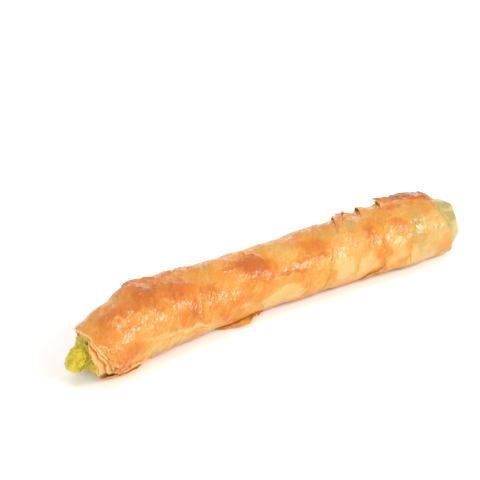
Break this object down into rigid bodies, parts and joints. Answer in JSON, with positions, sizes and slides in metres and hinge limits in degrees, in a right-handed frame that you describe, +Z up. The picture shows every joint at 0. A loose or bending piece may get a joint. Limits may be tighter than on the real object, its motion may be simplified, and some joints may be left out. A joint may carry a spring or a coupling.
{
  "type": "potato filo pie",
  "caption": "Long baked roll of filo pastry, gently curved, with overlapping wraps, a raised pleat and crisp flaps, filled with mashed potato that stands out of one end.",
  "frame": {"origin": "middle of the bounding box's underside, on the surface that the roll lies on", "axes": "+X along the roll towards the end with the pale core tube, +Y towards the back, +Z up"},
  "size_m": [0.247, 0.0484, 0.0368],
  "materials": {
    "baked_filo": "thin baked pastry sheets, golden with browner patches, glossy with oil and egg",
    "potato": "moist yellow-green mashed potato with specks of pepper"
  },
  "bodies": {
    "root": {"filo_pastry": "baked_filo", "potato_filling": "potato"}
  },
  "joints": []
}
